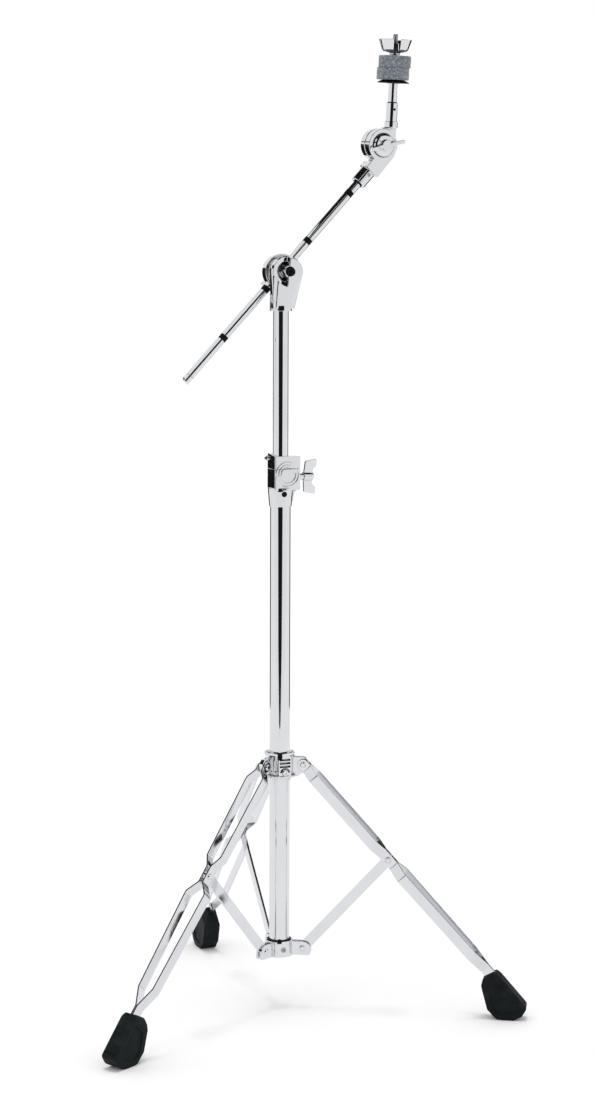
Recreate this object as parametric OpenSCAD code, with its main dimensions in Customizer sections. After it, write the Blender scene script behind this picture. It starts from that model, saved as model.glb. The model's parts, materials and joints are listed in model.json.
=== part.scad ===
// Cymbal boom stand: a double-braced tripod, two telescoping tubes, a boom and a tilting cymbal seat.
// Millimetres. The origin is on the floor under the tube axis, +Z is up and the boom rises towards +X.

/* [Tubes] */
// Outer diameter of the base tube
base_tube_d = 25.4; // [22:0.1:28]
// Height of the base tube's lower end
base_tube_z = 66; // [60:0.5:68]
// Height of the base tube's upper end, inside the receiver
base_tube_top = 646; // [560:1:660]
// Outer diameter of the middle tube
middle_tube_d = 19.05; // [16:0.05:20]
// Wall of both tubes
tube_wall = 1.5; // [1:0.1:2]
// Length of middle tube that hangs below its memory lock
middle_tube_hidden = 345; // [280:5:400]

/* [Tripod] */
// Radius of the leg pivots and the brace pivots from the tube axis
pivot_r = 30; // [28:0.5:34]
// Height of the brace pivots on the lower collar
collar_z = 77.3; // [76:0.1:80]
// Pivot to pivot length of a brace, and of the leg above it
link = 157; // [150:1:165]
// Angle of legs and braces from the vertical when the stand is open
leg_angle = 42.5; // [40:0.5:44]
// Length of a leg strap from its pivot to its end in the boot
strap_len = 384; // [370:1:390]
// Width of the leg straps and of the braces
strap_w = 13; // [11:0.5:14]
// Thickness of a leg strap
strap_t = 2; // [1.5:0.1:2.4]
// Thickness of a brace
brace_t = 3; // [2:0.1:3]
// Diameter of the pivot pins
pin_d = 6; // [5:0.1:6.5]

/* [Tube clamp] */
// Height where the receiver's cone starts
receiver_z = 627; // [600:1:632]
// Height of the joint between the clamp block and the memory lock
lock_z = 673; // [668:1:676]
// Height of the memory lock's top
lock_top = 689; // [686:1:694]

/* [Boom] */
// Diameter of the boom rod
boom_d = 10.5; // [9.5:0.1:11]
// Rise of the boom above the horizontal
boom_rise = 47.2; // [20:0.1:60]
// Length of boom from the mid hinge to its lower end
boom_low = 180.5; // [150:0.5:200]
// Length of boom from the mid hinge to the mouth of the seat tilter's socket
boom_high = 148.5; // [120:0.5:160]
// Spacing of the black memory bands
band_pitch = 80; // [70:1:90]
// Height of the mid hinge
hinge_z = 911.5; // [905:0.5:920]
// Sideways offset of the mid hinge from the tube axis
hinge_x = 5.5; // [0:0.5:8]
// Distance of the boom behind the tube axis
boom_y = 16; // [15:0.5:18]
// Roll of the boom and its seat about the boom's axis
boom_roll = 8; // [-30:1:30]

/* [Cymbal seat] */
// Lean of the seat post from the vertical
post_lean = 0.2; // [-20:0.01:20]
// Offset of the post's axis from the seat hinge
post_offset = 15.6; // [12:0.05:18]
// Diameter of the felts
felt_d = 40; // [36:1:44]
// Thickness of each felt
felt_t = 14.2; // [12:0.1:16]
// Diameter of the threaded stud
stud_d = 6.7; // [6:0.1:7]
// Height of the stud's tip above the seat hinge
stud_tip = 133.6; // [128:0.1:140]

/* [Hidden] */
$fn = 72;

fit = 0.05;             // radial clearance of a running fit
snug = 0.01;            // radial clearance of a press fit
gap = 0.3;              // between faces of pieces that move on each other
leg_azimuth = [-150, -30, 90];
corner_steps = 5;       // facets on a rounded corner of an outline

hub_z = collar_z + 2 * link * cos(leg_angle);
strap_ear = 3 + gap + strap_t / 2;                  // strap centre from the leg's plane, at the hub
strap_pinch = brace_t / 2 + gap + strap_t / 2;      // and where the brace comes in
boot_s = 338;                                       // start of the boot's slot, from the hub pivot

seat_along = 201.6;     // seat hinge along the boom, from the mid hinge
seat_above = 12.2;      // seat hinge above the boom's axis
seat_x = hinge_x + seat_along * cos(boom_rise) - seat_above * sin(boom_rise);
seat_z = hinge_z + seat_along * sin(boom_rise) + seat_above * cos(boom_rise);
disc_r = 19.7;          // round faces of the seat hinge and the boom clamp

function unit(v) = v / norm(v);
function flat2(v) = [v[0], v[1]];
// Points of one corner b, between a and c, rounded to the radius in b's third value
function corner(a, b, c) = b[2] < 0.01 ? [flat2(b)] : let(
    p = flat2(b), u = unit(flat2(a) - p), w = unit(flat2(c) - p),
    half = acos(max(-1, min(1, u * w))) / 2,
    middle = p + unit(u + w) * b[2] / sin(half),
    start = p + u * b[2] / tan(half) - middle, end = p + w * b[2] / tan(half) - middle,
    a0 = atan2(start[1], start[0]), a1 = atan2(end[1], end[0]),
    turn = (a1 - a0 + 540) % 360 - 180)
    [for (i = [0:corner_steps])
        middle + b[2] * [cos(a0 + turn * i / corner_steps), sin(a0 + turn * i / corner_steps)]];
// A closed outline of [x, y, corner radius] points
function rounded(pts) = let(n = len(pts))
    [for (i = [0:n - 1]) each corner(pts[(i + n - 1) % n], pts[i], pts[(i + 1) % n])];
// An open line of [x, y, corner radius] points
function bent(pts) = let(n = len(pts) - 1)
    [flat2(pts[0]), for (i = [1:n - 1]) each corner(pts[i - 1], pts[i], pts[i + 1]), flat2(pts[n])];
// The line moved sideways by d
function beside(line, d) = let(n = len(line) - 1)
    [for (i = [0:n]) let(
        u = unit(line[min(i + 1, n)] - line[max(i - 1, 0)]))
        line[i] + d * [-u[1], u[0]]];
// The outline of a bar of thickness t along the line
function bar(line, t) = let(l = beside(line, t / 2), r = beside(line, -t / 2), n = len(r) - 1)
    concat(l, [for (i = [0:n]) r[n - i]]);

// A solid of the outline in the XZ plane, from y0 to y1
module plate(outline, y0, y1)
    translate([0, y1, 0]) rotate([90, 0, 0]) linear_extrude(y1 - y0) polygon(outline);
// A cylinder along Y through (x, z)
module rod_y(x, z, r, y0, y1)
    translate([x, y0, z]) rotate([-90, 0, 0]) cylinder(r = r, h = y1 - y0);
// A cylinder along X through (y, z)
module rod_x(y, z, r, x0, x1)
    translate([x0, y, z]) rotate([0, 90, 0]) cylinder(r = r, h = x1 - x0);
module tube(d, bore, z0, z1) translate([0, 0, z0]) difference() {
    cylinder(d = d, h = z1 - z0);
    translate([0, 0, -1]) cylinder(d = bore, h = z1 - z0 + 2);
}
// A screw with a socket: head and shank along +Z from the head's outer face
module socket_screw_shape(head_d, head_h, shank_d, length, key) difference() {
    union() {
        cylinder(d = head_d, h = head_h);
        translate([0, 0, head_h - 0.01]) cylinder(d = shank_d, h = length - head_h);
    }
    translate([0, 0, -1]) cylinder(d = key, h = 1 + head_h * 0.7, $fn = 6);
}
// Cast wing, as half of a wing nut: it leaves the boss at radius r0 and flares towards +Z
module wing_half(r0, span, rise, thick)
    rotate([90, 0, 0]) translate([0, 0, -thick / 2]) linear_extrude(thick)
        polygon(rounded([[r0 - 1.5, 0.5, 0], [r0 - 1.5, rise * 0.72, 0], [r0 + 3.8, rise * 0.74, 1.2],
            [span * 0.6, rise, 1.2], [span, rise, 1.2], [span * 0.88, 1.8, 1.6], [r0, 0.5, 0]]));
// Wing nut or wing screw head, along +Z from its seat
module wing_body(boss_d, span, rise, thick, bore) difference() {
    union() {
        cylinder(d1 = boss_d, d2 = boss_d * 0.9, h = rise * 0.78);
        for (side = [0, 180]) rotate(side) wing_half(boss_d / 2, span, rise, thick);
    }
    translate([0, 0, -1]) cylinder(d = bore, h = rise + 2);
}

// ---- base -------------------------------------------------------------------------------------
module base_tube() color("gainsboro")
    tube(base_tube_d, base_tube_d - 2 * tube_wall, base_tube_z, base_tube_top);

block_x = [-12, 21];          // clamp block, left and right faces
block_y = [-13.5, 15.6];        // and its front and back faces
ring_at = [4.2, 667];           // centre of the turned rings on the block's front
bush_d = 22.3;
bush_low = 585;                 // lower end of the receiver's bush
// Outline of the block and the lock, seen from above
block_plan = rounded([[block_x[0], block_y[0], 1.2], [block_x[1], block_y[0], 1.2],
    [block_x[1], block_y[1], 3], [block_x[0], block_y[1], 3]]);
// Two beads and a low disc that run over the block and the lock
module turned_rings(z0, z1) intersection() {
    difference() {
        rod_y(ring_at[0], ring_at[1], 15.2, block_y[0] - 0.5, block_y[0] + 1);
        rod_y(ring_at[0], ring_at[1], 14, block_y[0] - 2, block_y[0] + 2);
    }
    translate([-40, -40, z0]) cube([80, 80, z1 - z0]);
}
module turned_disc(z0, z1) intersection() {
    difference() {
        rod_y(ring_at[0], ring_at[1], 11.6, block_y[0] - 0.5, block_y[0] + 1);
        difference() {
            rod_y(ring_at[0], ring_at[1], 10.4, block_y[0] - 2, block_y[0] + 2);
            rod_y(ring_at[0], ring_at[1], 8.4, block_y[0] - 3, block_y[0] + 3);
        }
    }
    translate([-40, -40, z0]) cube([80, 80, z1 - z0]);
}
// The joint face steps up on the wing's side, which keys the lock to the block
key_x = 2;
key_h = 1.2;
wing_z = 663.2;
rivet_at = [-0.5, 643];         // x and z of the rivet on the cone's front
module tube_receiver() color("silver") difference() {
    union() {
        rotate_extrude() polygon([[11.4, receiver_z + 1], [13.3, receiver_z + 1], [13.6, receiver_z],
            [13.9, receiver_z + 0.8], [15.5, 646], [15.5, 650], [11.4, 650]]);
        translate([0, 0, 648]) linear_extrude(lock_z - 648) polygon(block_plan);
        translate([0, 0, lock_z - 1]) intersection() {
            linear_extrude(1 + key_h) polygon(block_plan);
            translate([key_x, -40, 0]) cube([80, 80, 10]);
        }
        turned_rings(640, lock_z);
        turned_disc(640, lock_z);
        // gusset from the cone out to the block's lower corner
        plate(rounded([[8, 634, 0], [14.4, 634, 0], [15, 640, 4], [16.8, 645.2, 3], [block_x[1], 648.4, 0.5],
            [block_x[1], 650, 0], [8, 650, 0]]), -6, 6);
    }
    translate([0, 0, receiver_z - 1])
        cylinder(d = base_tube_d + 2 * snug, h = base_tube_top - receiver_z + 1);
    translate([0, 0, receiver_z]) cylinder(d = bush_d + 2 * snug, h = 100);
    rod_x(0, wing_z, 4 + fit, 0, 40);
    rod_y(rivet_at[0], rivet_at[1], 3.11, -40, 0);
    translate([-3, -40, 648.2]) cube([5, 28, 1.2]);
}
module receiver_bush() color("black") difference() {
    union() {
        tube(bush_d, middle_tube_d + 2 * fit, bush_low, base_tube_top);
        tube(bush_d, middle_tube_d + 2 * fit, base_tube_top - 1, lock_z - 0.6);
    }
    rod_x(0, wing_z, 3.9 + fit, 0, 40);
}
module receiver_rivet() color("black") intersection() {
    rod_y(rivet_at[0], rivet_at[1], 3.1, -16.2, -12.8);
    translate([0, 0, 600]) cylinder(r = 15.9, h = 80);
}
module clamp_pad() color("gold") difference() {
    rod_x(0, wing_z, 3.9, middle_tube_d / 2 - 1, 13);
    cylinder(d = middle_tube_d + 2 * fit, h = 1000);
}

tab_turn = -110;        // where the tabs of the black bushes show, round the tube
collar_bottom = 67.2;
collar_h = 19.6;
ear_bottom = 68.4;
ear_top = 85.8;
collar_screw_z = 76.2;
ear_t = 2.5;
ear_out = 40;
collar_slot = brace_t / 2 + gap + 0.05;
collar_ear = collar_slot + ear_t;       // outer faces of a clevis, from its mid plane
module brace_collar() color("gainsboro") difference() {
    union() {
        translate([0, 0, collar_bottom]) linear_extrude(collar_h) difference() {
            circle(r = 17.3);
            for (az = leg_azimuth) rotate(az + 60) translate([15.6, -20]) square([10, 40]);
        }
        for (az = leg_azimuth) rotate(az)
            plate(rounded([[8, ear_bottom, 0], [ear_out, ear_bottom, 3.5], [ear_out, ear_top, 9],
                [8, ear_top, 0]]), -collar_ear, collar_ear);
    }
    translate([0, 0, collar_bottom - 1]) cylinder(d = base_tube_d + 2 * snug, h = collar_h + 2);
    translate([0, 0, collar_bottom + collar_h - 3]) cylinder(r = 14.8 + snug, h = 4);
    for (az = leg_azimuth) rotate(az) {
        translate([17.5, -collar_slot, collar_bottom - 1]) cube([30, 2 * collar_slot, collar_h + 2]);
        rod_y(pivot_r, collar_z, pin_d / 2 + snug, -10, 10);
    }
    rotate(tab_turn) translate([13, -2.6, collar_bottom + collar_h - 2.2]) cube([6, 5.2, 4]);
    translate([0, -20, collar_screw_z]) rotate([-90, 0, 0]) cylinder(r = 3.01, h = 8);
}
module collar_bush() color("black") {
    tube(2 * 14.8, base_tube_d + 2 * snug, collar_bottom + collar_h - 3, collar_bottom + collar_h + 1.2);
    rotate(tab_turn) translate([14.6, -2.5, collar_bottom + collar_h - 2.1]) cube([2.2, 5, 3.6]);
}
module collar_screw() color("dimgray")
    translate([0, -16.1, collar_screw_z]) rotate([-90, 0, 0]) socket_screw_shape(6, 2, 6, 3.3, 3);
// A headed pin along Y, as a group member: shank to the heads' inner faces at +-half
module headed_pin(half, shank_r, head_r, head_h) {
    rod_y(0, 0, shank_r, -half - 0.1, half + 0.1);
    for (side = [0, 180]) rotate([0, 0, side]) translate([0, half, 0]) rotate([-90, 0, 0])
        cylinder(r1 = head_r, r2 = head_r * 0.62, h = head_h);
}
module collar_pins() color("silver") for (az = leg_azimuth) rotate(az)
    translate([pivot_r, 0, collar_z]) headed_pin(collar_ear, pin_d / 2, 4.1, 1.5);

module clamp_stud() color("silver") rod_x(0, wing_z, 4, 13 + fit, 40.5);
module clamp_wing() color("silver")
    translate([block_x[1] + 8.5, 0, wing_z]) rotate([0, 90, 0]) rotate(8.5)
        wing_body(11, 22.2, 16.2, 3.8, 8 + 2 * snug);

// ---- leg hub ----------------------------------------------------------------------------------
hub_r = 17;
hub_bush_r = 14.6;
module hub_body() color("silver") difference() {
    union() {
        translate([0, 0, hub_z]) rotate_extrude() polygon([[12, -20.5], [14.2, -20.5], [14.6, -15.5],
            [20, -15.3], [20, -12.6], [hub_r, -12.4], [hub_r, 8], [19, 12.5], [19, 15.2], [12, 15.2]]);
        for (az = leg_azimuth) rotate(az) translate([0, 0, hub_z])
            plate(rounded([[13, -15.4, 0], [23, -15.4, 2], [36.4, -4, 4.5], [36.4, 4, 3],
                [31.5, 10, 3], [13, 10, 0]]), -3, 3);
        translate([0, -18.6, hub_z]) rotate([-90, 0, 0]) linear_extrude(8)
            polygon(rounded([[-8.2, -11.5, 1.5], [8.2, -11.5, 1.5], [8.2, 14, 1.5], [-8.2, 14, 1.5]]));
    }
    translate([0, 0, hub_z - 30]) cylinder(d = base_tube_d + 4 * fit, h = 60);
    translate([0, 0, hub_z + 2]) cylinder(r = hub_bush_r + snug, h = 30);
    translate([0, 0, hub_z + 12.2]) cylinder(r1 = hub_bush_r, r2 = 18, h = 3.01);
    for (az = leg_azimuth) rotate(az) {
        rod_y(pivot_r, hub_z, pin_d / 2 + snug, -10, 10);
        // pockets in the casting on both sides of each ear
        for (side = [-1, 1]) translate([15, side * 7.4 - 2.3, hub_z - 8]) cube([10, 4.6, 14]);
    }
    // slots across the front, and an arch over the screw
    for (k = [-1:1]) translate([-6.8, -20, hub_z + 2.1 + 4.2 * k]) cube([13.6, 4.8, 2.3]);
    intersection() {
        difference() {
            rod_y(0, hub_z - 9, 6.4, -20, -16.2);
            rod_y(0, hub_z - 9, 4.4, -21, -15);
        }
        translate([-8, -22, hub_z - 8.4]) cube([16, 10, 12]);
    }
    rod_y(0, hub_z - 9, 2.5 + snug, -30, -10);
    rotate(tab_turn) translate([14, -2.8, hub_z + 7.6]) cube([6, 5.6, 10]);
}
module hub_bush() color("black") difference() {
    union() {
        tube(2 * hub_bush_r, base_tube_d + 2 * fit, hub_z + 2.1, hub_z + 12.2);
        rotate(tab_turn) translate([14.4, -2.7, hub_z + 7.7]) cube([3.6, 5.4, 6.8]);
    }
    cylinder(d = base_tube_d + 2 * fit, h = 1000);
}
module hub_pins() color("gray") for (az = leg_azimuth) rotate(az)
    translate([pivot_r, 0, hub_z]) headed_pin(strap_ear + strap_t / 2 + gap, pin_d / 2, 4, 1.6);
module hub_screw() color("silver")
    translate([0, -20.4, hub_z - 9]) rotate([-90, 0, 0]) socket_screw_shape(6.6, 1.8, 5, 7.2, 3);

// ---- legs and braces --------------------------------------------------------------------------
// Frame of a leg: origin at its hub pivot, +X down the leg, +Y sideways, +Z outwards
module leg_frame(az) rotate([0, 0, az]) translate([pivot_r, 0, hub_z]) rotate([0, 90 - leg_angle, 0])
    children();
// Frame of a brace: origin at its collar pivot, +X up the brace
module brace_frame(az) rotate([0, 0, az]) translate([pivot_r, 0, collar_z])
    rotate([0, leg_angle - 90, 0]) children();

// Sideways place of one strap's centre, down the leg, with the radius of each bend
strap_line = bent([[-strap_w / 2, strap_ear, 0], [8, strap_ear, 5], [20, 12.4, 6], [132, 10.8, 6],
    [146, strap_pinch, 6], [168, strap_pinch, 6], [183, 14.4, 6], [312, 11, 8],
    [335, strap_t / 2 + 0.1, 6], [strap_len, strap_t / 2 + 0.1, 0]]);
end_round = strap_w / 2 - 0.6;      // corners of a strap's or brace's pivoted end
module strap(az, side) color("gainsboro") leg_frame(az) difference() {
    intersection() {
        translate([0, 0, -strap_w / 2]) linear_extrude(strap_w)
            scale([1, side]) polygon(bar(strap_line, strap_t));
        plate(rounded([[-strap_w / 2, -strap_w / 2, end_round], [strap_len, -strap_w / 2, 2],
            [strap_len, strap_w / 2, 2], [-strap_w / 2, strap_w / 2, end_round]]), -30, 30);
    }
    rod_y(0, 0, pin_d / 2 + fit, -20, 20);
    rod_y(link, 0, pin_d / 2 + fit, -20, 20);
}
// The rivet where the brace comes in: a head and a stub in each strap, with the brace free between
module leg_rivet(az) color("silver") leg_frame(az) for (turn = [0, 180]) rotate([turn, 0, 0]) {
    rod_y(link, 0, pin_d / 2 + fit - snug, strap_pinch - strap_t / 2, strap_pinch + strap_t / 2 + 0.1);
    translate([link, strap_pinch + strap_t / 2, 0]) rotate([-90, 0, 0])
        cylinder(r1 = 4.2, r2 = 2.6, h = 1.6);
}
// Side outline of a boot: s down the leg, then outwards
boot_side = rounded([[342.5, -8.5, 1.5], [347, 7.9, 1.5], [355, 9, 5], [404.5, 8, 5], [408, -4, 8],
    [404, -18.5, 8],
    [390, -30, 6], [374, -30.4, 7], [347, -16.5, 4]]);
boot_w = 22;
// Outline of a boot from outside: it narrows towards its mouth
boot_face = rounded([[342.5, -7, 3], [352, -boot_w / 2, 6], [409, -boot_w / 2, 0], [409, boot_w / 2, 0],
    [352, boot_w / 2, 6], [342.5, 7, 3]]);
boot_panel = rounded([[358, -13, 3], [359, 4, 3], [396, 3, 5], [400, -6, 6], [389, -23.5, 7], [376, -24, 6]]);
panel_depth = 1.3;
module boot(az) color([0.07, 0.08, 0.09]) difference() {
    leg_frame(az) difference() {
        intersection() {
            plate(boot_side, -boot_w / 2, boot_w / 2);
            translate([0, 0, -40]) linear_extrude(60) polygon(boot_face);
        }
        for (side = [-1, 1])
            plate(boot_panel, side * boot_w / 2 - panel_depth, side * boot_w / 2 + panel_depth);
        // groove above the sole, across the outer face
        translate([398, -boot_w / 2 + 1.5, 7.2]) cube([1.4, boot_w - 3, 5]);
        translate([boot_s, -strap_t - 0.15, -strap_w / 2 - 0.05])
            cube([strap_len - boot_s + 0.2, 2 * strap_t + 0.3, strap_w + 0.1]);
    }
    translate([-500, -500, -60]) cube([1000, 1000, 60]);
}
module brace(az) color("gainsboro") brace_frame(az) difference() {
    plate(rounded([[-strap_w / 2, -strap_w / 2, end_round], [link + strap_w / 2, -strap_w / 2, end_round],
        [link + strap_w / 2, strap_w / 2, end_round], [-strap_w / 2, strap_w / 2, end_round]]),
        -brace_t / 2, brace_t / 2);
    rod_y(0, 0, pin_d / 2 + fit, -5, 5);
    rod_y(link, 0, pin_d / 2 + fit, -5, 5);
}

// ---- memory lock ------------------------------------------------------------------------------
lock_screw_at = [12.5, 685.9];  // y and z
module lock_body() color("silver") difference() {
    union() {
        translate([0, 0, lock_z + gap]) linear_extrude(lock_top - lock_z - gap) polygon(block_plan);
        turned_rings(lock_z + gap, lock_top);
        turned_disc(lock_z + gap, lock_top);
        // wall on the left that rises towards the back
        translate([block_x[0], 0, 0]) rotate([90, 0, 90]) linear_extrude(6)
            polygon([[block_y[0] + 1.3, lock_top - 1], [block_y[1] - 3.1, lock_top - 1],
                [block_y[1] - 3.1, lock_top + 3.2], [block_y[0] + 1.3, lock_top]]);
    }
    translate([key_x - gap, -40, lock_z - 1]) cube([80, 80, 1 + key_h + gap]);
    translate([0, 0, 600]) cylinder(d = middle_tube_d + 2 * fit, h = 200);
    translate([2.4, 0, lock_z - 10]) cube([1.6, 40, 60]);
    rod_x(lock_screw_at[0], lock_screw_at[1], 2 + snug, -40, 17);
}
module lock_screw() color("silver") {
    rod_x(lock_screw_at[0], lock_screw_at[1], 2, block_x[0] - 0.1, 17);
    rod_x(lock_screw_at[0], lock_screw_at[1], 2.9, block_x[0] - 1.4, block_x[0]);
    translate([block_x[0] - 3.6, lock_screw_at[0] - 1.7, lock_screw_at[1] - 1.7]) cube([2.3, 3.4, 3.4]);
}

// ---- middle tube and its tilter ---------------------------------------------------------------
tilter_z = 864;
tube_end = 885;
middle_low = lock_top - middle_tube_hidden;
module middle_tube() color("gainsboro")
    tube(middle_tube_d, middle_tube_d - 2 * tube_wall, middle_low, tube_end);
module tube_glide() color("black") difference() {
    union() {
        translate([0, 0, middle_low - 6]) cylinder(d = 22, h = 6);
        translate([0, 0, middle_low - 1]) cylinder(d = middle_tube_d - 2 * tube_wall - 2 * snug, h = 16);
    }
    translate([0, 0, middle_low - 7]) cylinder(d = 11, h = 30);
}
cheek_r = 19.2;             // far cheek
lobe_r = 18.3;              // near lobe
near_y = -17.5;             // front of the near lobe
cheek_y = [-6, 2];
bolt_d = 6;
collar_back = 10.4;         // flat on the collar that the boom swings past
tilter_collar_r = 13.6;
wall_top = [hinge_x + 0.8, hinge_z + 22];       // slanting wall of the near lobe, x and z
wall_foot = [hinge_x - 4, hinge_z - 22];
// Outline of the neck seen from above, back to y1
function neck(y1) = rounded([[-13.4, -12.9, 4], [13.4, -12.9, 4], [13.4, y1, 2], [-13.4, y1, 2]]);
scoop_r = 18.6;
cheek_round = 3;            // round on the far cheek's front edge
module tilter_base() color("silver") difference() {
    union() {
        intersection() {
            rotate_extrude() polygon([[5, tilter_z + 0.6], [tilter_collar_r - 0.5, tilter_z],
                [tilter_collar_r, tilter_z + 0.8], [tilter_collar_r, 884], [12.6, 887], [5, 887]]);
            translate([-40, -40, 800]) cube([80, 40 + collar_back, 200]);
        }
        difference() {
            union() {
                // neck up to the far cheek
                hull() {
                    translate([0, 0, tilter_z + 3]) linear_extrude(9) polygon(neck(cheek_y[1]));
                    for (a = [0:30:90]) rod_y(hinge_x, hinge_z, cheek_r - cheek_round * (1 - sin(a)),
                        cheek_y[0] + cheek_round * (1 - cos(a)), cheek_y[1]);
                }
                // neck up to the near lobe
                hull() {
                    translate([0, 0, tilter_z + 3]) linear_extrude(7) polygon(neck(0));
                    rod_y(hinge_x, hinge_z, lobe_r, near_y + 6, cheek_y[0]);
                    translate([hinge_x, near_y, hinge_z]) rotate([-90, 0, 0])
                        cylinder(r1 = lobe_r - 2.2, r2 = lobe_r, h = 6);
                }
            }
            // scoop left of the lobe's slanting wall, round its lower end, down to the cheek
            intersection() {
                rod_y(hinge_x, hinge_z, scoop_r, -40, cheek_y[0]);
                plate([wall_top, wall_foot, [-40, wall_foot[1]], [-40, wall_top[1]]], -50, 50);
            }
            plate([wall_top, [hinge_x - 1.6, hinge_z], [-40, hinge_z], [-40, wall_top[1]]], -50, cheek_y[0]);
            // bowl in the far cheek
            translate([hinge_x, cheek_y[0] - 0.01, hinge_z]) rotate([-90, 0, 0])
                cylinder(r1 = 12.5, r2 = 9, h = 3.5);
        }
        // six-sided boss round the bolt
        translate([hinge_x, near_y + 0.6, hinge_z]) rotate([-90, 0, 0])
            cylinder(r = 8, h = cheek_y[1] - 1.6 - near_y, $fn = 6);
    }
    rod_y(hinge_x, hinge_z, bolt_d / 2 + fit, -30, 10);
    rod_y(hinge_x, hinge_z, 5.7, near_y - 1, near_y + 3.6);
    translate([0, 0, 800]) cylinder(d = middle_tube_d + 2 * snug, h = tube_end - 800 + 0.1);
    rotate(-20) translate([-3.11, -30, 864.59]) cube([6.22, 21, 5.62]);
}
module tilter_set_screw() color("black") difference() {
    rotate(-20) translate([-3.1, -13.9, 864.6]) cube([6.2, 5, 5.6]);
    cylinder(d = middle_tube_d + 2 * snug, h = 1000);
}

// ---- boom clamp -------------------------------------------------------------------------------
clamp_y = [cheek_y[1] + gap, 29.5];
clamp_flange_r = 21.6;
// Frame on the boom's axis: origin at the mid hinge, +X up the boom
module boom_frame() translate([hinge_x, boom_y, hinge_z]) rotate([0, -boom_rise, 0]) children();
// Turns what the boom's upper end carries about the boom's axis
module rolled() boom_frame() rotate([boom_roll, 0, 0]) rotate([0, boom_rise, 0])
    translate([-hinge_x, -boom_y, -hinge_z]) children();
module boom_clamp() color("silver") difference() {
    union() {
        rod_y(hinge_x, hinge_z, disc_r, clamp_y[0], clamp_y[0] + 4.2);
        rod_y(hinge_x, hinge_z, 18.4, clamp_y[0] + 4, 10);
        rod_y(hinge_x, hinge_z, clamp_flange_r, 9.5, 22.5);
        translate([hinge_x, 22.49, hinge_z]) rotate([-90, 0, 0])
            cylinder(r1 = clamp_flange_r, r2 = 10, h = 4.5);
        rod_y(hinge_x, hinge_z, 9.5, 20, clamp_y[1]);
    }
    boom_frame() rod_x(0, 0, boom_d / 2 + fit, -60, 60);
    rod_y(hinge_x, hinge_z, bolt_d / 2 + snug, 0, 9.8);
    rod_y(hinge_x, hinge_z, 4 + fit, boom_y, 40);
}
module tilter_bolt() color([0.1, 0.1, 0.1]) {
    difference() {
        translate([hinge_x, near_y - 0.6, hinge_z]) rotate([-90, 0, 0]) cylinder(r = 5.3, h = 4.15, $fn = 6);
        rod_y(hinge_x, hinge_z, 2, near_y - 3, near_y + 1.4);
    }
    rod_y(hinge_x, hinge_z, bolt_d / 2, near_y + 3.4, 9.6);
}
module boom_pad() color("gold") difference() {
    rod_y(hinge_x, hinge_z, 3.9, boom_y + 3, 24);
    boom_frame() rod_x(0, 0, boom_d / 2 + fit, -60, 60);
}
module tilter_stud() color("silver") rod_y(hinge_x, hinge_z, 4, 24 + fit, 41);
module tilter_wing() color("silver")
    translate([hinge_x, clamp_y[1] + gap, hinge_z]) rotate([-90, 0, 0]) rotate(-boom_rise)
        wing_body(13.5, 21.5, 16, 4, 8 + 2 * snug);

// ---- boom and the seat tilter's lower half ----------------------------------------------------
plug_len = 9;
socket_end = 168;
socket_screw_s = boom_high + 15;
bands = [for (k = [-1:2]) k * band_pitch - 29];
band_w = 7;
module boom_plug() color("silver") boom_frame() difference() {
    rod_x(0, 0, boom_d / 2 - 0.25, -boom_low, -boom_low + plug_len);
    for (side = [-1, 1])
        translate([-boom_low - 1, -10, side * 14 - 10]) rotate([0, side * 20, 0]) cube([3, 20, 20]);
}
module boom_rod() color("gainsboro") boom_frame() difference() {
    rod_x(0, 0, boom_d / 2, -boom_low + plug_len + gap, socket_end - 0.2);
    for (s = bands) translate([s, 0, 0]) difference() {
        rod_x(0, 0, boom_d, -band_w / 2, band_w / 2);
        rod_x(0, 0, boom_d / 2 - 0.6, -band_w, band_w);
    }
}
module boom_bands() color("black") boom_frame() for (s = bands) translate([s, 0, 0]) difference() {
    rod_x(0, 0, boom_d / 2 - 0.03, -band_w / 2 + 0.02, band_w / 2 - 0.02);
    rod_x(0, 0, boom_d / 2 - 0.59, -band_w, band_w);
}
// The seat hinge has two round halves about Y: the lower half in front, the upper half behind
lower_y = [4.5, boom_y - 0.6];
upper_y = [boom_y + 0.6, 27];
disc_gap = 0.1;
module seat_socket() color("silver") rolled() difference() {
    union() {
        boom_frame() {
            rod_x(0, 0, 9.5, boom_high, socket_end + 1);
            plate(rounded([[socket_end, -10, 1.5], [seat_along + 2, -8.6, 0], [seat_along - 4, 8, 0],
                [seat_along - 14, 10, 2], [socket_end, 10, 1.5]]), lower_y[0] - boom_y, lower_y[1] - boom_y);
            plate(rounded([[socket_end, -10, 1.5], [socket_end + 9, -10, 3], [socket_end + 11, 10, 3],
                [socket_end, 10, 1.5]]), -2, 8.6);
        }
        rod_y(seat_x, seat_z, disc_r, lower_y[0], lower_y[1]);
    }
    boom_frame() rod_x(0, 0, boom_d / 2 + 0.7 + snug, boom_high - 1, socket_end - 4);
    boom_frame() rod_x(0, 0, boom_d / 2 + snug, boom_high, socket_end);
    rod_y(seat_x, seat_z, bolt_d / 2 + fit, -10, 40);
    rod_y(seat_x, seat_z, disc_r + gap, lower_y[1], 40);
    rod_y(seat_x, seat_z, 14.5, -10, lower_y[0] + 1.2);
    boom_frame() rod_y(socket_screw_s, 0, 2.1, -12, 0);
}
module socket_sleeve() color("black") rolled() boom_frame() difference() {
    rod_x(0, 0, boom_d / 2 + 0.7, boom_high - 1.2, socket_end - 4);
    rod_x(0, 0, boom_d / 2 + snug, boom_high - 3, socket_end);
    rod_y(socket_screw_s, 0, 2.1, -12, 0);
}
module socket_screw() color("dimgray") rolled() boom_frame()
    translate([socket_screw_s, -9.3, 0]) rotate([-90, 0, 0]) socket_screw_shape(4, 1.5, 4, 4, 2);
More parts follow.
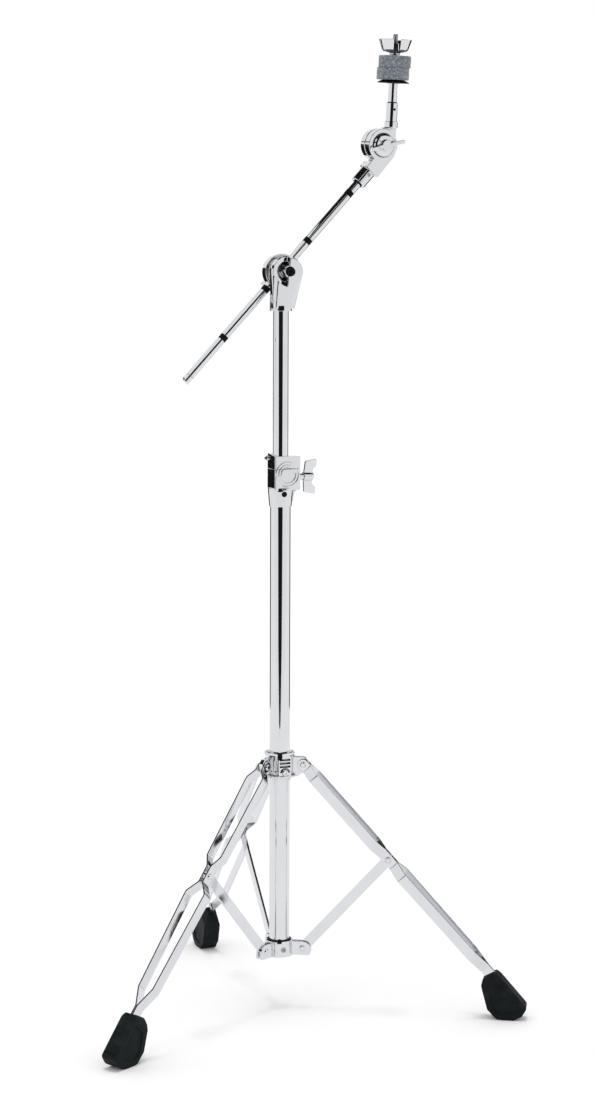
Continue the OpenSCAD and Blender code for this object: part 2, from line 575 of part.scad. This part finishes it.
module friction_disc() color("black") rolled() difference() {
    rod_y(seat_x, seat_z, 18.4, lower_y[1] + disc_gap, upper_y[0] - disc_gap);
    rod_y(seat_x, seat_z, bolt_d / 2 + fit, 0, 40);
}
module seat_bolt() color("silver") rolled() {
    rod_y(seat_x, seat_z, bolt_d / 2, -1, upper_y[1] + 0.1);
    translate([seat_x, upper_y[1] + 0.02, seat_z]) rotate([-90, 0, 0]) cylinder(d = 13, h = 4.4, $fn = 6);
}
module seat_wing() color("silver") rolled()
    translate([seat_x, lower_y[0] + 1.2 - gap, seat_z]) rotate([90, 0, 0]) rotate(14) difference() {
        union() {
            // round-shouldered boss
            rotate_extrude() polygon(concat([[0, 0], [14.2, 0]],
                [for (a = [0:15:75]) [10.2 + 4 * cos(a), 1.6 + 4 * sin(a)]], [[7, 6.2], [0, 6.6]]));
            translate([0, 0, 3]) for (side = [0, 180]) rotate(side) wing_half(7, 23.5, 12.4, 4.2);
            cylinder(r = 6.5, h = 11);
        }
        translate([0, 0, -1]) cylinder(r = bolt_d / 2 + snug, h = 8);
    }

// ---- upper half of the seat -------------------------------------------------------------------
// Frame of the post: origin on the seat hinge, +Z along the post, whose axis is at x = post_offset
module post_frame() translate([seat_x, boom_y, seat_z]) rotate([0, post_lean, 0]) children();
module on_post() post_frame() translate([post_offset, 0, 0]) children();
module on_rolled_post() rolled() on_post() children();
washer_z = 74.5;
post_rivet_z = 43.5;
felt_z = washer_z + 4.5;
upper_felt_z = felt_z + felt_t + 0.3;
crown_z = upper_felt_z + felt_t + 1;
crown_h = 18.4;
module seat_head() color("silver") rolled() difference() {
    union() {
        rod_y(seat_x, seat_z, disc_r, upper_y[0], upper_y[1]);
        post_frame() translate([0, -boom_y, 0])
            plate([[0, 0], [post_offset + 8, 0], [post_offset + 8, 22], [post_offset - 8, 22], [0, 14]],
                upper_y[0], upper_y[1] - 2);
        on_post() {
            translate([0, 0, 21.5]) cylinder(d = 16.4, h = 7.5);
            translate([0, 0, 20.6]) cylinder(d1 = 14.4, d2 = 16.4, h = 1);
        }
    }
    rod_y(seat_x, seat_z, bolt_d / 2 + snug, 0, 40);
    rod_y(seat_x, seat_z, disc_r + gap, -10, upper_y[0]);
    on_post() translate([0, 0, 21]) cylinder(d = 12 + 2 * snug, h = 20);
}
module seat_post() color("silver") on_rolled_post() difference() {
    union() {
        translate([0, 0, 21.2]) cylinder(d = 12, h = 9);
        translate([0, 0, 29.02]) cylinder(d = 14, h = 22);
        translate([0, 0, 51]) cylinder(d1 = 14, d2 = 12, h = 1.4);
        translate([0, 0, 52]) cylinder(d = 11, h = washer_z - 52);
    }
    translate([0, 0, 40]) cylinder(d = stud_d + 2 * snug, h = 60);
    translate([0, 0, post_rivet_z]) rotate([90, 0, 0]) cylinder(r = 1.65, h = 20);
}
module post_rivet() color("black") on_rolled_post()
    translate([0, -7.3, post_rivet_z]) rotate([-90, 0, 0]) cylinder(r = 1.6, h = 3.4);
tip_d = 6.2;                    // plain tip above the thread
tip_from = crown_z + 14.4;
module seat_stud() color("silver") on_rolled_post() {
    translate([0, 0, 40.2]) cylinder(d = stud_d, h = tip_from - 40.2);
    translate([0, 0, tip_from - 0.01]) cylinder(d = tip_d, h = stud_tip - 1.2 - tip_from + 0.01);
    translate([0, 0, stud_tip - 1.21]) cylinder(d1 = tip_d, d2 = tip_d - 2, h = 1.2);
}
module seat_washer() color("black") on_rolled_post() translate([0, 0, washer_z]) rotate_extrude()
    polygon([[stud_d / 2 + 0.1, 0.1], [8, 0.1], [13, 1.6], [19.4, 0.6], [19.5, 1.5], [15, 3.6], [13, 4.2],
        [stud_d / 2 + 0.1, 4.2]]);
module seat_sleeve() color("black") on_rolled_post() translate([0, 0, felt_z])
    tube(10, stud_d + 0.2, 0, crown_z - felt_z - 0.5);
module felt(z, shift) on_rolled_post() translate([shift, 0, z]) tube(felt_d - 0.6, 13, 0, felt_t);
module felt_lower() color("slategray") felt(felt_z, -1.1);
module felt_upper() color("slategray") felt(upper_felt_z, 0.6);
module crown_nut() color("silver") on_rolled_post() translate([0, 0, crown_z]) difference() {
    union() {
        cylinder(r = 6.6, h = 3);
        translate([0, 0, 2.9]) cylinder(r1 = 5.6, r2 = 4.8, h = 11);
        difference() {
            rotate_extrude() polygon([[4.5, 2.4], [9, 2.8], [14.4, 4], [16.4, 6.2], [18.2, 11.5],
                [20.5, crown_h], [19.2, crown_h], [16.8, 11.8], [15.1, 7.4], [13.6, 5.8], [9, 4.6], [4.5, 4.4]]);
            // wide gaps leave four petals
            for (turn = [0:90:270]) rotate(turn - 21.4) translate([0, 0, 4]) linear_extrude(40)
                polygon([[2.2, -4], [6.2, -31], [-6.2, -31], [-2.2, -4]]);
        }
    }
    translate([0, 0, -1]) cylinder(d = stud_d + 2 * fit, h = 40);
}

base_tube();
tube_receiver();
receiver_bush();
receiver_rivet();
clamp_pad();
brace_collar();
collar_bush();
collar_screw();
collar_pins();
clamp_stud();
clamp_wing();
hub_body();
hub_bush();
hub_pins();
hub_screw();
for (leg = [["a", leg_azimuth[0]], ["b", leg_azimuth[1]], ["c", leg_azimuth[2]]]) {
    strap(leg[1], 1);
    strap(leg[1], -1);
    leg_rivet(leg[1]);
    boot(leg[1]);
    brace(leg[1]);
}
lock_body();
lock_screw();
middle_tube();
tube_glide();
tilter_base();
tilter_set_screw();
boom_clamp();
tilter_bolt();
boom_pad();
tilter_stud();
tilter_wing();
boom_plug();
boom_rod();
boom_bands();
seat_socket();
socket_sleeve();
socket_screw();
friction_disc();
seat_bolt();
seat_wing();
seat_head();
seat_post();
post_rivet();
seat_stud();
seat_washer();
seat_sleeve();
felt_lower();
felt_upper();
crown_nut();
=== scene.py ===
import json
import math
import random

import bmesh
import bpy
from mathutils import Matrix, Vector, noise


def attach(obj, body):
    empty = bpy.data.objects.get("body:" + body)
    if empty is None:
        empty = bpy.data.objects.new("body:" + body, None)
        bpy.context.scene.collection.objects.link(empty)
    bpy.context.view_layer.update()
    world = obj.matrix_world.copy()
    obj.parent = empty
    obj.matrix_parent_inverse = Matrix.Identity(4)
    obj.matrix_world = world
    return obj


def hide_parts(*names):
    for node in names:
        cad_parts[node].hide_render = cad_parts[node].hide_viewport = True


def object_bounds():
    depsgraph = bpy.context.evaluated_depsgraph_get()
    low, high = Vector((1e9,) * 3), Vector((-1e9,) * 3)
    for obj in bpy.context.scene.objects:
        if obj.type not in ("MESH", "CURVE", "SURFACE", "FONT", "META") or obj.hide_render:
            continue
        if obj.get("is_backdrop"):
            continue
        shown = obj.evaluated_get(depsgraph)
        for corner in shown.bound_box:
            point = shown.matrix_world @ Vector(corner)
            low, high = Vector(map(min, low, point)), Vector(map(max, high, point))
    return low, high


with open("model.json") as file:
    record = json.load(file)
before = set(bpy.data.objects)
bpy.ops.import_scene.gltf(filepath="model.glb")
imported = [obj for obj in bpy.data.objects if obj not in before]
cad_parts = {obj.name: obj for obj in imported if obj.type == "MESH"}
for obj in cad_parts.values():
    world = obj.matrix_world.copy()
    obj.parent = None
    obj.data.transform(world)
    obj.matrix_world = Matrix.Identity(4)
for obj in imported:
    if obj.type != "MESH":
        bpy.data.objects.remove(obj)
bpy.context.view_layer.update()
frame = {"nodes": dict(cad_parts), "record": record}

MM = 0.001
LEGS = ("a", "b", "c")
scene = bpy.context.scene
record = frame["record"]
BODY = {node: body for body, members in record["behaviour"]["bodies"].items() for node in members}
SLOT = {part["node"]: part["material_slot"] for part in record["subparts"]}

# ---- materials --------------------------------------------------------------------------------


class Shader:
    """A Principled material whose colour, roughness and bump come from noise in object space."""

    def __init__(self, name, metallic=0.0, specular=0.5, sheen=0.0):
        self.material = bpy.data.materials.new(name)
        self.material.use_nodes = True
        self.tree = self.material.node_tree
        self.principled = self.tree.nodes["Principled BSDF"]
        self.principled.inputs["Metallic"].default_value = metallic
        self.principled.inputs["Specular IOR Level"].default_value = specular
        self.principled.inputs["Sheen Weight"].default_value = sheen
        self.place = self.tree.nodes.new("ShaderNodeTexCoord").outputs["Object"]
        self.normal = None

    def link(self, output, target):
        self.tree.links.new(output, target)

    def stretched(self, stretch):
        """Object coordinates scaled by stretch, for grain that runs one way."""
        mapping = self.tree.nodes.new("ShaderNodeMapping")
        mapping.inputs["Scale"].default_value = stretch
        self.link(self.place, mapping.inputs["Vector"])
        return mapping.outputs["Vector"]

    def noise(self, scale, detail=3.0, stretch=(1, 1, 1)):
        node = self.tree.nodes.new("ShaderNodeTexNoise")
        node.inputs["Scale"].default_value = scale
        node.inputs["Detail"].default_value = detail
        self.link(self.stretched(stretch), node.inputs["Vector"])
        return node.outputs["Fac"]

    def cells(self, scale):
        node = self.tree.nodes.new("ShaderNodeTexVoronoi")
        node.inputs["Scale"].default_value = scale
        self.link(self.place, node.inputs["Vector"])
        return node.outputs["Distance"]

    def paint_recess_shade(self, reach, dark):
        """Painted shade: darkens the colour where other faces stand within reach, in slots and inside
        corners.
        """
        openness = self.tree.nodes.new("ShaderNodeAmbientOcclusion")
        openness.samples = 8
        openness.inputs["Distance"].default_value = reach
        shade = self.in_range(openness.outputs["AO"], 0.25, 0.8, dark, 1.0)
        darker = self.tree.nodes.new("ShaderNodeMix")
        darker.data_type = "RGBA"
        darker.blend_type = "MULTIPLY"
        darker.inputs["Factor"].default_value = 1.0
        tint = self.principled.inputs["Base Color"]
        self.link(tint.links[0].from_socket, darker.inputs["A"])
        self.link(shade, darker.inputs["B"])
        self.link(darker.outputs["Result"], tint)

    def worn_edges(self):
        """Goes above 0.5 on convex edges."""
        return self.tree.nodes.new("ShaderNodeNewGeometry").outputs["Pointiness"]

    def in_range(self, value, low, high, first, last):
        """Takes value from low..high to first..last."""
        span = self.tree.nodes.new("ShaderNodeMapRange")
        for key, number in (("From Min", low), ("From Max", high), ("To Min", first), ("To Max", last)):
            span.inputs[key].default_value = number
        self.link(value, span.inputs["Value"])
        return span.outputs["Result"]

    def mixed(self, first, second, share):
        """The two values added, with share as the weight of the second."""
        node = self.tree.nodes.new("ShaderNodeMath")
        node.operation = "MULTIPLY_ADD"
        node.inputs[1].default_value = 1 - share
        self.link(first, node.inputs[0])
        scaled = self.tree.nodes.new("ShaderNodeMath")
        scaled.operation = "MULTIPLY"
        scaled.inputs[1].default_value = share
        self.link(second, scaled.inputs[0])
        self.link(scaled.outputs[0], node.inputs[2])
        return node.outputs[0]

    def colour(self, value, *stops):
        """Base colour from value, by a ramp of (position, (r, g, b)) stops."""
        ramp = self.tree.nodes.new("ShaderNodeValToRGB")
        self.link(value, ramp.inputs["Fac"])
        elements = ramp.color_ramp.elements
        while len(elements) < len(stops):
            elements.new(0.5)
        for element, (position, colour) in zip(elements, stops):
            element.position = position
            element.color = (*colour, 1)
        self.link(ramp.outputs["Color"], self.principled.inputs["Base Color"])

    def roughness(self, value, smooth, rough):
        self.link(self.in_range(value, 0.3, 0.7, smooth, rough), self.principled.inputs["Roughness"])

    def bump(self, value, strength, depth):
        """Adds relief to what there is: depth is that of the whole span of value, in metres."""
        node = self.tree.nodes.new("ShaderNodeBump")
        node.inputs["Strength"].default_value = strength
        node.inputs["Distance"].default_value = depth
        self.link(value, node.inputs["Height"])
        if self.normal:
            self.link(self.normal, node.inputs["Normal"])
        self.normal = node.outputs["Normal"]
        self.link(self.normal, self.principled.inputs["Normal"])


def chrome(name, tint, smooth, rough, ripple, ripple_scale, grain=(1, 1, 1), recess=0):
    """Chrome plate. ripple is the depth of the slow waves that bend its reflections. Faces closer to
    each other than recess get painted shade: each darkens the other's colour."""
    made = Shader(name, metallic=1.0)
    duller = tuple(0.965 * c for c in tint)
    made.colour(made.noise(38, detail=4), (0.3, duller), (0.7, tint))
    # Painted shade: slots and inside corners are darkened almost to black in the colour.
    if recess:
        made.paint_recess_shade(recess, 0.02)
    smears = made.mixed(made.noise(90, detail=6), made.noise(1400, detail=2, stretch=grain), 0.35)
    made.roughness(smears, smooth, rough)
    made.bump(made.noise(ripple_scale, detail=1), 1.0, ripple)
    made.bump(made.noise(2600, detail=2, stretch=grain), 0.1, 0.001 * MM)
    return made.material


def plain_steel():
    made = Shader("plain_steel", metallic=1.0)
    rings = made.noise(900, detail=3, stretch=(1, 1, 8))
    made.colour(rings, (0.3, (0.30, 0.30, 0.32)), (0.7, (0.48, 0.48, 0.50)))
    made.roughness(rings, 0.22, 0.42)
    made.bump(rings, 0.5, 0.01 * MM)
    return made.material


def black_steel():
    made = Shader("black_steel", specular=0.05)
    pits = made.noise(1300, detail=4)
    made.colour(made.mixed(pits, made.worn_edges(), 0.3),
                (0.4, (0.003, 0.003, 0.004)), (0.72, (0.014, 0.014, 0.016)))
    made.roughness(pits, 0.3, 0.5)
    made.bump(pits, 0.5, 0.012 * MM)
    return made.material


def black_plastic():
    made = Shader("black_plastic", specular=0.06)
    grain = made.noise(2000, detail=3)
    made.colour(made.noise(120, detail=4), (0.3, (0.003, 0.004, 0.004)), (0.7, (0.007, 0.008, 0.009)))
    made.roughness(made.mixed(grain, made.noise(150, detail=5), 0.5), 0.32, 0.5)
    made.bump(grain, 0.5, 0.015 * MM)
    return made.material


def black_rubber():
    made = Shader("black_rubber", specular=0.10)
    dust = made.noise(70, detail=8)
    grain = made.noise(1500, detail=4)
    made.colour(made.mixed(dust, made.worn_edges(), 0.35),
                (0.36, (0.003, 0.005, 0.006)), (0.5, (0.005, 0.008, 0.009)), (0.68, (0.012, 0.016, 0.018)))
    made.roughness(made.mixed(dust, grain, 0.4), 0.44, 0.66)
    made.bump(grain, 0.6, 0.03 * MM)
    made.bump(made.noise(180, detail=3), 0.6, 0.08 * MM)
    return made.material


def brass():
    made = Shader("brass", metallic=1.0)
    turned = made.noise(800, detail=3, stretch=(1, 8, 1))
    made.colour(turned, (0.3, (0.60, 0.42, 0.16)), (0.7, (0.80, 0.62, 0.30)))
    made.roughness(turned, 0.2, 0.38)
    made.bump(turned, 0.4, 0.01 * MM)
    return made.material


def grey_felt():
    """Pressed wool: pale and dark fibres matted together."""
    made = Shader("grey_felt", specular=0.15, sheen=0.35)
    mottle = made.mixed(made.noise(420, detail=6), made.noise(1500, detail=4), 0.5)
    made.colour(mottle, (0.36, (0.060, 0.070, 0.085)), (0.47, (0.135, 0.152, 0.175)),
                (0.56, (0.235, 0.258, 0.288)), (0.66, (0.46, 0.49, 0.53)))
    made.roughness(mottle, 0.85, 1.0)
    made.bump(made.noise(900, detail=6), 0.9, 0.35 * MM)
    made.bump(made.cells(2600), 0.6, 0.12 * MM)
    return made.material


MATERIALS = {
    "chrome_tube": chrome("chrome_tube", tint=(0.70, 0.71, 0.73), smooth=0.015, rough=0.045,
                          ripple=0.004 * MM, ripple_scale=30, grain=(1, 1, 0.1)),
    "chrome_cast": chrome("chrome_cast", tint=(0.69, 0.70, 0.72), smooth=0.03, rough=0.08,
                          ripple=0.03 * MM, ripple_scale=130, recess=4 * MM),
    "chrome_steel": chrome("chrome_steel", tint=(0.70, 0.71, 0.735), smooth=0.03, rough=0.085,
                           ripple=0.012 * MM, ripple_scale=60, grain=(1, 1, 0.2)),
    "plain_steel": plain_steel(),
    "black_steel": black_steel(),
    "black_plastic": black_plastic(),
    "black_rubber": black_rubber(),
    "brass": brass(),
    "grey_felt": grey_felt(),
}

# ---- making pieces ----------------------------------------------------------------------------


def welded(node):
    """The node's mesh with its split vertices joined."""
    bm = bmesh.new()
    bm.from_mesh(frame["nodes"][node].data)
    bmesh.ops.remove_doubles(bm, verts=bm.verts, dist=0.001 * MM)
    return bm


def linked(name, bm):
    """An object in the scene with the mesh bm, which is freed."""
    mesh = bpy.data.meshes.new(name)
    bm.to_mesh(mesh)
    bm.free()
    piece = bpy.data.objects.new(name, mesh)
    scene.collection.objects.link(piece)
    return piece


def apply_modifiers(piece):
    graph = bpy.context.evaluated_depsgraph_get()
    mesh = bpy.data.meshes.new_from_object(piece.evaluated_get(graph))
    piece.modifiers.clear()
    piece.data = mesh


def settle(piece, node):
    """Gives the piece the node's material and body, and hides the node."""
    piece.data.materials.clear()
    piece.data.materials.append(MATERIALS[SLOT[node]])
    piece.data.shade_smooth()
    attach(piece, BODY[node])
    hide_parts(node)
    return piece


def cast(node, voxel, rounding):
    """A casting: the node's faces with every edge and inside corner rounded off. voxel is the size of
    its faces, and rounding the number of smoothing passes."""
    core = linked(node + "_core", welded(node))
    piece = linked(node + "_cast", welded(node))
    remesh = piece.modifiers.new("remesh", "REMESH")
    remesh.mode = "VOXEL"
    remesh.voxel_size = voxel
    wrap = piece.modifiers.new("wrap", "SHRINKWRAP")
    wrap.target = core
    smooth = piece.modifiers.new("smooth", "SMOOTH")
    smooth.factor = 0.5
    smooth.iterations = rounding
    apply_modifiers(piece)
    bpy.data.objects.remove(core)
    return piece


FLAT = math.radians(0.6)            # faces that meet at less than this are one face
SHARP = math.radians(28)            # edges that turn more than this get a round
CREASE = math.radians(50)           # edges that turn more than this aren't smoothed over


def machined(node, edge):
    """A stamped or turned piece: the node's shape with a round of the width edge on its sharp edges."""
    bm = welded(node)
    bmesh.ops.dissolve_limit(bm, angle_limit=FLAT, verts=bm.verts, edges=bm.edges)
    sharp = [e for e in bm.edges if e.is_manifold and e.calc_face_angle(0) > SHARP]
    bmesh.ops.bevel(bm, geom=sharp, offset=edge, segments=2, profile=0.5, affect="EDGES",
                    clamp_overlap=True)
    piece = linked(node + "_made", bm)
    piece.data.shade_smooth()
    piece.data.set_sharp_from_angle(angle=CREASE)
    weighted = piece.modifiers.new("weighted", "WEIGHTED_NORMAL")
    weighted.keep_sharp = True
    weighted.weight = 90
    apply_modifiers(piece)
    return piece


# Each casting's voxel, in millimetres, and smoothing passes.
CASTINGS = {
    "tube_receiver": (0.32, 3), "lock_body": (0.32, 3), "tilter_base": (0.45, 4), "boom_clamp": (0.5, 4),
    "hub_body": (0.45, 3), "brace_collar": (0.42, 3), "seat_socket": (0.42, 4), "seat_head": (0.45, 4),
    "clamp_wing": (0.4, 5), "tilter_wing": (0.45, 6), "seat_wing": (0.4, 5), "crown_nut": (0.4, 3),
}
for node, (voxel, rounding) in CASTINGS.items():
    settle(cast(node, voxel * MM, rounding), node)

# The width of the round on each stamped or turned piece, in millimetres.
MACHINED = {
    "receiver_rivet": 0.4, "collar_screw": 0.2, "collar_pins": 0.4, "hub_pins": 0.4, "hub_screw": 0.25,
    "lock_screw": 0.3, "tilter_bolt": 0.35, "boom_plug": 0.4, "seat_post": 0.3, "post_rivet": 0.2,
    "seat_washer": 0.2, "seat_bolt": 0.3, "tilter_set_screw": 0.3, "socket_sleeve": 0.2,
}
for leg in LEGS:
    MACHINED.update({f"leg_{leg}_strap_left": 0.3, f"leg_{leg}_strap_right": 0.3, f"leg_{leg}_rivet": 0.4,
                     f"brace_{leg}": 0.4})
for node, edge in MACHINED.items():
    settle(machined(node, edge * MM), node)

BOOT_VOXEL = 0.5 * MM
BOOT_ROUNDING = 2
for leg in LEGS:
    settle(cast(f"leg_{leg}_foot", BOOT_VOXEL, BOOT_ROUNDING), f"leg_{leg}_foot")

# ---- felts ------------------------------------------------------------------------------------
FELT_VOXEL = 0.6 * MM
FELT_ROUNDING = 5
FIBRES = 1500
FIBRE_SIDE = 0.03 * MM              # half the width of a fibre
FIRST_SEED = 5


def felt(node, seed):
    """A felt disc: its faces roughened, with loose fibres standing off them."""
    piece = cast(node, FELT_VOXEL, FELT_ROUNDING)
    draw = random.Random(seed)
    offset = Vector((seed, 0, 0))
    mesh = piece.data
    moved = []
    for v in mesh.vertices:
        coarse = noise.noise(v.co * 260 + offset)
        fine = noise.noise(v.co * 1100 + offset)
        moved.append(v.co + v.normal * (0.28 * coarse + 0.2 * fine) * MM)
    for v, place in zip(mesh.vertices, moved):
        v.co = place
    mesh.update()
    bm = bmesh.new()
    bm.from_mesh(mesh)
    roots = [(v.co.copy(), v.normal.copy()) for v in bm.verts]
    for place, out in draw.sample(roots, FIBRES):
        aside = out.orthogonal().normalized()
        aside.rotate(Matrix.Rotation(draw.uniform(0, math.tau), 3, out))
        length = draw.uniform(0.5, 1.5) * MM
        width = aside.cross(out) * FIBRE_SIDE
        line = [place - out * 0.1 * MM, place + out * 0.2 * MM + aside * 0.4 * length,
                place + out * draw.uniform(0.1, 0.45) * MM + aside * length]
        left = [bm.verts.new(p + width) for p in line[:2]]
        right = [bm.verts.new(p - width) for p in line[:2]]
        tip = bm.verts.new(line[2])
        bm.faces.new((left[0], left[1], right[1], right[0]))
        bm.faces.new((left[1], tip, right[1]))
    bm.to_mesh(mesh)
    bm.free()
    return piece


for seed, node in enumerate(("felt_lower", "felt_upper"), start=FIRST_SEED):
    settle(felt(node, seed), node)

# ---- tubes, rods and other nodes that keep their CAD mesh -------------------------------------
for node, part in frame["nodes"].items():
    if not part.hide_render:
        part.data.materials.clear()
        part.data.materials.append(MATERIALS[SLOT[node]])

# ---- studio -----------------------------------------------------------------------------------
CAMERA_AT = Vector((-0.9562, -2.4994, 0.855))
CAMERA_TURN = -21.4         # degrees about Z
CAMERA_TILT = 84.0          # degrees up from straight down
CAMERA_ROLL = 0.206
camera = bpy.data.objects.new("camera", bpy.data.cameras.new("camera"))
camera.data.lens = 72
camera.data.sensor_width = 36
camera.matrix_world = (Matrix.Translation(CAMERA_AT) @ Matrix.Rotation(math.radians(CAMERA_TURN), 4, "Z")
                       @ Matrix.Rotation(math.radians(CAMERA_TILT), 4, "X")
                       @ Matrix.Rotation(math.radians(CAMERA_ROLL), 4, "Z"))
scene.collection.objects.link(camera)
scene.camera = camera
scene.view_settings.view_transform = "Standard"

world = bpy.data.worlds.new("studio")
world.use_nodes = True
world.node_tree.nodes["Background"].inputs["Color"].default_value = (1, 1, 1, 1)
world.node_tree.nodes["Background"].inputs["Strength"].default_value = 1.0
scene.world = world


def sheet_of(name, corners, colour):
    """A flat card or floor through the corners."""
    bm = bmesh.new()
    bm.faces.new([bm.verts.new(c) for c in corners])
    card = linked(name, bm)
    made = Shader(name, specular=0.2)
    made.colour(made.noise(3), (0.3, tuple(0.99 * c for c in colour)), (0.7, colour))
    made.roughness(made.noise(40), 0.8, 0.9)
    card.data.materials.append(made.material)
    card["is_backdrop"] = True
    return card


def black_card(name, corners):
    """A black card that is seen only in the reflections on the stand."""
    card = sheet_of(name, corners, (0.004, 0.004, 0.004))
    card.visible_camera = False
    card.visible_shadow = False
    card.visible_diffuse = False


def upright(name, azimuth, distance, low, foot, high, top):
    """A black card that faces the stand from that azimuth, from the height low, where its half width is
    foot, to the height high, where it is top."""
    middle = Vector((math.sin(azimuth), math.cos(azimuth), 0)) * distance
    across = Vector((math.cos(azimuth), -math.sin(azimuth), 0))
    base = [middle + across * reach + Vector((0, 0, low)) for reach in (-foot, foot)]
    head = [middle + across * reach + Vector((0, 0, high)) for reach in (top, -top)]
    black_card(name, base + head)


TOWARD_CAMERA = math.atan2(CAMERA_AT.x, CAMERA_AT.y)
FLOOR = 14.0                # how far the floor reaches behind the stand and to each side
FLOOR_FRONT = 1.9           # it ends this far in front of the stand, outside the picture
ahead = Vector((math.sin(TOWARD_CAMERA), math.cos(TOWARD_CAMERA), 0))
beside = Vector((ahead.y, -ahead.x, 0))
sheet_of("floor", [ahead * FLOOR_FRONT - beside * FLOOR, ahead * FLOOR_FRONT + beside * FLOOR,
                   beside * FLOOR - ahead * FLOOR, -beside * FLOOR - ahead * FLOOR], (0.84, 0.84, 0.84))

# The dark room behind the camera, which the upright chrome reflects as its dark stripes: the heights and
# half widths of its outline.
ROOM_AT = 12.0
DARK_ROOM = [(-1.95, 1.2), (-1.45, 4.2), (-0.45, 5.8), (0.5, 7.0), (2.24, 7.6), (2.26, 16.5), (2.56, 16.5),
             (2.58, 7.6), (9.4, 7.6)]
for number, ((low, foot), (high, top)) in enumerate(zip(DARK_ROOM, DARK_ROOM[1:])):
    upright(f"dark_room_{number}", TOWARD_CAMERA, ROOM_AT, low, foot, high, top)

# Two flags behind the stand, which darken the rims of its tubes.
FLAG_TURN = math.radians(141)
FLAG_AT = 2.0
FLAG_HALF_WIDTH = 0.52
FLAG_LOW, FLAG_HIGH = 0.02, 1.25
for side in (-1, 1):
    upright(f"flag_{side + 1}", TOWARD_CAMERA + side * FLAG_TURN, FLAG_AT,
            FLAG_LOW, FLAG_HALF_WIDTH, FLAG_HIGH, FLAG_HALF_WIDTH)

# Two cards overhead, by their west, east, front and back edges.
OVERHEAD_AT = 1.5
OVERHEAD = {"over_left": (-1.9, -0.8, -1.2, 1.8), "over_seat": (-0.26, 0.8, -0.6, 0.55)}
for name, (west, east, front, back) in OVERHEAD.items():
    black_card(name, [(west, front, OVERHEAD_AT), (east, front, OVERHEAD_AT),
                      (east, back, OVERHEAD_AT), (west, back, OVERHEAD_AT)])

sun = bpy.data.lights.new("soft_sun", "SUN")
sun.energy = 0.85
sun.angle = math.radians(12)
scene.collection.objects.link(bpy.data.objects.new("soft_sun", sun))      # from straight above

low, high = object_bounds()
